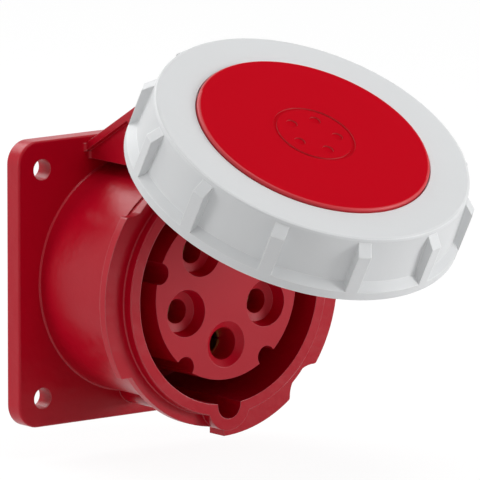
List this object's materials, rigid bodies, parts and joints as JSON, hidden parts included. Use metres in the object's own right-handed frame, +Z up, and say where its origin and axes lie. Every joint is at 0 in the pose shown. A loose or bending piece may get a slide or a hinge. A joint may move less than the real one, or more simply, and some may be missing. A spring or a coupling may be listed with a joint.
{
  "type": "industrial panel socket",
  "caption": "Industrial power socket for a panel: square flange, round collar with bayonet wings, contact insert, and a hinged lid with a ribbed locking ring.",
  "frame": {"origin": "middle of the flange's back face, on the axis of the socket", "axes": "+Y goes back through the panel along the socket's axis, +Z is up towards the hinge, +X is right as seen from the front"},
  "size_m": [0.09, 0.1323, 0.1037],
  "materials": {
    "red_housing": "glossy moulded plastic",
    "dark_red_insert": "satin moulded plastic",
    "red_lid_disc": "fine matt moulded plastic",
    "pale_grey_ring": "satin moulded plastic",
    "contact_brass": "machined brass",
    "spring_steel": "bright spring steel",
    "plated_steel": "zinc plated",
    "black_rubber": "soft rubber"
  },
  "bodies": {
    "housing": {"flange_housing": "red_housing", "contact_insert": "dark_red_insert", "contact_carrier": "dark_red_insert", "contact_earth": "contact_brass", "contact_spring_earth": "spring_steel", "contact_l1": "contact_brass", "contact_spring_l1": "spring_steel", "contact_l2": "contact_brass", "contact_spring_l2": "spring_steel", "contact_l3": "contact_brass", "contact_spring_l3": "spring_steel", "contact_neutral": "contact_brass", "contact_spring_neutral": "spring_steel", "terminal_screws": "plated_steel", "carrier_screws": "plated_steel", "flange_gasket": "black_rubber", "hinge_pin": "plated_steel"},
    "lid": {"lid_cap": "red_housing", "lid_disc": "red_lid_disc", "lid_gasket": "black_rubber"},
    "ring": {"locking_ring": "pale_grey_ring"}
  },
  "joints": [
    {"name": "lid_hinge", "type": "hinge", "parent": "housing", "child": "lid", "pos_m": [0, -0.0279, 0.0445], "axis": [-1, 0, 0], "range_deg": [-60, 40]},
    {"name": "ring_turn", "type": "hinge", "parent": "lid", "child": "ring", "pos_m": [0, -0.07999, 0.04572], "axis": [0, 0.5, -0.866], "range_deg": [0, 60]}
  ]
}
